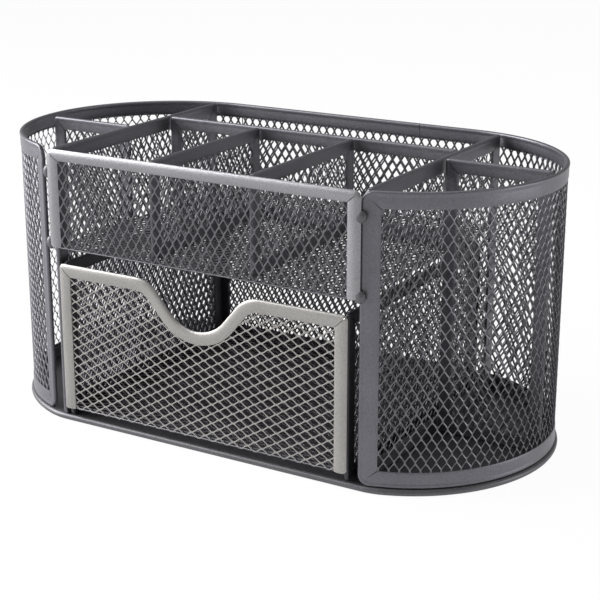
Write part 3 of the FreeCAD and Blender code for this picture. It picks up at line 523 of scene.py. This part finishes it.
tray_coat = powder_coat("silver_grey_powder_coat", "838286", "9D9CA0", roughness=0.4, metallic=0.8)
tray_level, tray_high, tray_y, tray_left, tray_right = 69.5, 107.0, -56.6, -66.4, 64.7
tray_band, tray_top_band, tray_crown = 5.0, 4.3, 0.7
tray_corner, tray_foot_rounding, tray_tuck = 2.5, (2.4, 0.5), 0.05
tray_lay = flat((tray_left, tray_y, tray_level), x_axis, z_axis, -y_axis)
tray_width, tray_height = tray_right - tray_left, tray_high - tray_level
tray_sheet = expanded_sheet("tray_front_sheet", (sheet_inset, 0.0),
                            (tray_width - sheet_inset, tray_height - sheet_inset), tray_lay, mesh_coat)
side_profile = channel_profile(tray_band, 0.0, tray_crown, tray_tuck)
top_profile = channel_profile(tray_top_band, 0.0, tray_crown, tray_tuck)
rail_foot, side_ratio, top_ratio = 0.3, tray_top_band / tray_band, tray_band / tray_top_band
right_top, left_top = (tray_width, tray_height), (0.0, tray_height)
tray_rails = [
    rail(side_profile, tray_lay,
         free_end((tray_width, rail_foot), left, up, tray_band, *tray_foot_rounding),
         mitred_end(right_top, left, down, tray_corner, side_ratio)),
    rail(top_profile, tray_lay, mitred_end(right_top, down, left, tray_corner, top_ratio),
         mitred_end(left_top, down, right, tray_corner, top_ratio), count=8),
    rail(side_profile, tray_lay, mitred_end(left_top, right, down, tray_corner, side_ratio),
         free_end((0.0, rail_foot), right, up, tray_band, *tray_foot_rounding))]
tray_channel = skin("tray_front_channel", *joined(tray_rails), tray_coat)
bar_wide, bar_thick = 0.9, 0.45
floor_half, floor_front, floor_back = tray_half, -56.2, 53.59
floor_level, bar_inset = tray_level + bar_thick, bar_wide / 2
floor_lay = flat((0.0, 0.0, floor_level), x_axis, y_axis, z_axis)
floor_sheet = expanded_sheet("tray_floor_sheet", (-floor_half, floor_front), (floor_half, floor_back),
                             floor_lay, mesh_coat)
bar_x, bar_front, bar_back = floor_half - bar_inset, floor_front + bar_inset, floor_back - bar_inset
floor_corners = [np.array((x, y, floor_level)) for x, y in
                 ((-bar_x, bar_front), (bar_x, bar_front), (bar_x, bar_back), (-bar_x, bar_back))]
bars = []
for i in range(4):
    here, there = floor_corners[i], floor_corners[(i + 1) % 4]
    way = (there - here) / np.linalg.norm(there - here)
    bars.append(edge_bar(here, there, np.cross(way, z_axis), z_axis, bar_wide, bar_thick))
floor_edge = skin("tray_floor_edge", *joined(bars), mesh_coat)
bend_inset, bend_level, bend_wide, bend_thick = 1.0, tray_level + 0.3, 0.6, 0.8
front_edge = skin("tray_front_edge", *edge_bar((tray_left + bend_inset, tray_y, bend_level),
                                               (tray_right - bend_inset, tray_y, bend_level),
                                               z_axis, y_axis, bend_wide, bend_thick), mesh_coat)
for piece, replaced, slot in ((tray_sheet, "tray_front_mesh", "steel_mesh"),
                              (tray_channel, "tray_front_frame", "tray_channel"),
                              (floor_sheet, "tray_floor_mesh", "steel_mesh"),
                              (floor_edge, "tray_floor_mesh", "steel_mesh"),
                              (front_edge, "tray_front_mesh", "steel_mesh")):
    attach(piece, "stand")
    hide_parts(replaced)


# Two weld beads on each side tie the tray's front channel to the posts. Each is a drop of filler
# drawn down the gap, wider at the right, where it laps onto the channel, and coated like the base,
# whose darkened graphite is painted shade here too, in the gap.

def weld_bead(centre, radii, lean):
    """A drop drawn down the gap: an egg, wider above, whose waist swells in three low waves."""
    corners, rows, wave, top_heavy = 20, 15, 0.08, 0.16
    around, over = np.meshgrid(np.arange(corners) * 2 * math.pi / corners, np.linspace(0.0, math.pi, rows),
                               indexing="xy")
    swell = 1.0 + wave * np.cos(3 * around) * np.sin(over) + top_heavy * np.cos(over)
    x = radii[0] * np.sin(over) * np.cos(around) * swell + lean * np.cos(over)
    y = radii[1] * np.sin(over) * np.sin(around)
    z = radii[2] * np.cos(over)
    points = np.stack((x, y, z), axis=-1) + centre
    return points.reshape(-1, 3), ring_faces(rows, corners, False, True)


upper_weld, lower_weld, weld_lean = 98.0, 70.9, 0.2
right_weld, right_weld_radii = (64.0, -56.2), (2.2, 1.25, 2.4)
left_weld, left_weld_radii = (-67.2, -55.7), (1.6, 1.2, 2.4)
beads = [weld_bead(np.array((*place, level)), radii, lean)
         for place, radii in ((left_weld, left_weld_radii), (right_weld, right_weld_radii))
         for level, lean in ((upper_weld, weld_lean), (lower_weld, -weld_lean))]
welds = skin("weld_drops", *joined(beads), base_coat_darkened_as_shade, sharp_degrees=180.0)
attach(welds, "stand")
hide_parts("weld_beads")


# The drawer's front is mesh with its gaps laid level, in a paler channel that runs up both sides and
# over the top, down and up again round a finger notch. Pale silver powder coat.

drawer_coat = powder_coat("pale_silver_powder_coat", "8E8C8A", "A8A6A3", roughness=0.4, metallic=0.78)
drawer_mesh_coat = powder_coat("pale_silver_coated_mesh", "8A8886", "A4A29F", roughness=0.5, metallic=0.7)
front_half, front_height, front_base, front_band, front_corner = 61.5, 57.3, 6.5, 4.9, 2.0
drawer_middle, drawer_crown, drawer_lean, drawer_strand = -1.3, 0.55, 0.1, 0.48
notch_depth, shoulder_radius, bottom_radius, slope = 16.3, 12.5, 15.0, math.radians(50.0)
slope_run = (notch_depth - (shoulder_radius + bottom_radius) * (1 - math.cos(slope))) / math.sin(slope)
notch_half = (shoulder_radius + bottom_radius) * math.sin(slope) + slope_run * math.cos(slope)


def notch_line(depth):
    """The notch from right to left, under the fold by a depth: arc, slope, arc, slope, arc."""
    turn = np.linspace(0.0, slope, 13)[None]
    deep = depth[:, None]
    shoulder = np.stack((notch_half - np.sin(turn) * (shoulder_radius - deep),
                         front_height - shoulder_radius + np.cos(turn) * (shoulder_radius - deep)), axis=-1)
    bottom = np.stack((np.sin(turn[:, ::-1]) * (bottom_radius + deep),
                       front_height - notch_depth + bottom_radius
                       - np.cos(turn[:, ::-1]) * (bottom_radius + deep)), axis=-1)
    half = np.concatenate((shoulder, bottom), axis=1)
    return np.concatenate((half, half[:, -2::-1] * (-1.0, 1.0)), axis=1)


def in_front(points):
    """Whether points lie inside the front's outline, under its channel's fold."""
    x, z = np.abs(points[..., 0]), points[..., 1]
    line = notch_line(np.array((sheet_inset,)))[0]
    line = line[line[:, 0] >= 0.0][::-1]
    top = np.interp(x, line[:, 0], line[:, 1])
    return (x < front_half + gap_long) & (z < top)


drawer_lay = flat((drawer_middle, tray_y, front_base), x_axis, z_axis, -y_axis)
front_sheet = expanded_sheet("drawer_front_sheet", (sheet_inset - front_half, 0.0),
                             (front_half - sheet_inset, front_height - sheet_inset), drawer_lay,
                             drawer_mesh_coat, upright=False, kept=in_front, lean=drawer_lean,
                             strand=drawer_strand)
front_tuck, front_foot_rounding = 0.05, (1.2, 0.4)
front_profile = channel_profile(front_band, 0.0, drawer_crown, front_tuck)
top_left, top_right = (-front_half, front_height), (front_half, front_height)
front_rails = [
    rail(front_profile, drawer_lay, free_end((front_half, 0.0), left, up, front_band, *front_foot_rounding),
         mitred_end(top_right, left, down, front_corner)),
    rail(front_profile, drawer_lay, mitred_end(top_right, down, left, front_corner),
         mitred_end(top_left, down, right, front_corner), middle=notch_line),
    rail(front_profile, drawer_lay, mitred_end(top_left, right, down, front_corner),
         free_end((-front_half, 0.0), right, up, front_band, *front_foot_rounding))]
front_channel = skin("drawer_front_channel", *joined(front_rails), drawer_coat)
edge_reach, edge_level, edge_wide, edge_thick = front_half - 1.0, front_base + 0.35, 0.5, 0.6
# The front's bent bottom edge takes the stand's dark graphite mesh coat instead of the pale one: painted
# shade along the drawer's foot.
bottom_edge = skin("drawer_bottom_edge",
                   *edge_bar((drawer_middle - edge_reach, tray_y, edge_level),
                             (drawer_middle + edge_reach, tray_y, edge_level),
                             z_axis, y_axis, edge_wide, edge_thick), mesh_coat)
for piece, replaced, slot in ((front_sheet, "drawer_front_mesh", "drawer_front_mesh"),
                              (front_channel, "drawer_front_frame", "drawer_front_channel"),
                              (bottom_edge, "drawer_front_mesh", "drawer_front_mesh")):
    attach(piece, "drawer")
    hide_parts(replaced)


# The drawer's box is mesh in channels like the stand's: two sides, a back, and a floor that is welded
# between them. It has no runners and slides on the base. The channels are drawn nearly black, darker
# than the stand's graphite, as painted shade, so that where they show below the front they read as shadow.

# Painted shade: graphite darkened to nearly black, so that the box's channels read as the shadow under the
# tray.
box_coat_darkened_as_shade = powder_coat("graphite_coat_blackened_as_shade", "3C3C40", "4E4E52", roughness=0.5, metallic=0.7)
drawer_level, side_height, side_length, side_place = 2.8, 61.2, 103.3, 60.25
side_front, back_place, bottom_rise = -54.9, 49.75, 0.45
for side, sign in (("left", -1.0), ("right", 1.0)):
    framed_panel("drawer_%s_panel" % side, "drawer_%s_side" % side, side_length, side_height, panel_band,
                 flat((drawer_middle + sign * side_place, side_front, drawer_level), y_axis, z_axis,
                      sign * x_axis), "drawer", box_coat_darkened_as_shade)
framed_panel("drawer_back_panel", "drawer_back", 2 * front_half, side_height, panel_band,
             flat((drawer_middle - front_half, back_place, drawer_level), x_axis, z_axis, -y_axis),
             "drawer", box_coat_darkened_as_shade)
bottom_half, bottom_back = 58.9, 48.4
bottom_lay = flat((drawer_middle, 0.0, front_base + bottom_rise), x_axis, y_axis, z_axis)
bottom_sheet = expanded_sheet("drawer_floor_sheet", (-bottom_half, side_front), (bottom_half, bottom_back),
                              bottom_lay, mesh_coat, upright=False)
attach(bottom_sheet, "drawer")
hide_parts("drawer_floor_mesh")


# The studio: a plain white floor and backdrop, large soft lamps, and a camera at the photograph's
# place.

def camera_white(name, colour, share):
    """White paper: diffuse, and for the camera and for reflections mostly plain white."""
    material = bpy.data.materials.new(name)
    material.use_nodes = True
    tree = material.node_tree
    tree.nodes.clear()
    path = node(tree, "ShaderNodeLightPath")
    seen = node(tree, "ShaderNodeMath", {"operation": "MAXIMUM"}, i0=path.outputs["Is Camera Ray"],
                i1=path.outputs["Is Glossy Ray"])
    part = node(tree, "ShaderNodeMath", {"operation": "MULTIPLY"}, i0=seen.outputs[0], i1=share)
    paper = node(tree, "ShaderNodeBsdfDiffuse", Color=linear(colour))
    white = node(tree, "ShaderNodeEmission", Color=(1, 1, 1, 1), Strength=1.0)
    both = node(tree, "ShaderNodeMixShader", i0=part.outputs[0], i1=paper.outputs[0], i2=white.outputs[0])
    node(tree, "ShaderNodeOutputMaterial", Surface=both.outputs[0])
    return material


floor_mesh = bpy.data.meshes.new("floor")
reach = 3.0
floor_mesh.from_pydata([(-reach, -reach, 0), (reach, -reach, 0), (reach, reach, 0), (-reach, reach, 0)],
                       [], [(0, 1, 2, 3)])
floor_mesh.materials.append(camera_white("white_paper", "F2F2F2", 0.96))
floor = bpy.data.objects.new("floor", floor_mesh)
bpy.context.scene.collection.objects.link(floor)

world = bpy.data.worlds.new("studio")
bpy.context.scene.world = world
world.use_nodes = True
tree = world.node_tree
tree.nodes.clear()
path = node(tree, "ShaderNodeLightPath")
seen = node(tree, "ShaderNodeMath", {"operation": "MAXIMUM"}, i0=path.outputs["Is Camera Ray"],
            i1=path.outputs["Is Transmission Ray"])
room = node(tree, "ShaderNodeBackground", Color=linear("FFFFFF"), Strength=0.32)
backdrop = node(tree, "ShaderNodeBackground", Color=(1, 1, 1, 1), Strength=1.0)
both = node(tree, "ShaderNodeMixShader", i0=seen.outputs[0], i1=room.outputs[0], i2=backdrop.outputs[0])
node(tree, "ShaderNodeOutputWorld", Surface=both.outputs[0])


def soft_lamp(name, place, target, size, watts):
    """A square softbox that faces a target."""
    data = bpy.data.lights.new(name, "AREA")
    data.shape, data.size, data.energy = "SQUARE", size, watts
    lamp = bpy.data.objects.new(name, data)
    way = np.array(target) - np.array(place)
    yaw = math.atan2(way[1], way[0]) - math.pi / 2
    pitch = math.atan2(way[2], math.hypot(way[0], way[1])) + math.pi / 2
    lamp.location, lamp.rotation_euler = place, (pitch, 0.0, yaw)
    bpy.context.scene.collection.objects.link(lamp)


soft_lamp("left_softbox", (-0.74, -0.32, 0.44), (-0.03, 0.0, 0.06), 0.65, 16.5)
soft_lamp("top_softbox", (0.0, 0.1, 1.1), (0.0, 0.0, 0.05), 0.9, 3.0)
soft_lamp("right_softbox", (0.9, 0.28, 0.16), (0.08, 0.0, 0.08), 0.35, 2.4)

camera_data = bpy.data.cameras.new("camera")
camera_data.lens, camera_data.sensor_width = 90.8, 36.0
camera_data.clip_start = 0.01
camera = bpy.data.objects.new("camera", camera_data)
camera.location = (0.2919, -0.4755, 0.2212)
camera.rotation_euler = (math.radians(72.39), 0.0, math.radians(30.86))
bpy.context.scene.collection.objects.link(camera)
bpy.context.scene.camera = camera
bpy.context.scene.view_settings.view_transform = "Standard"
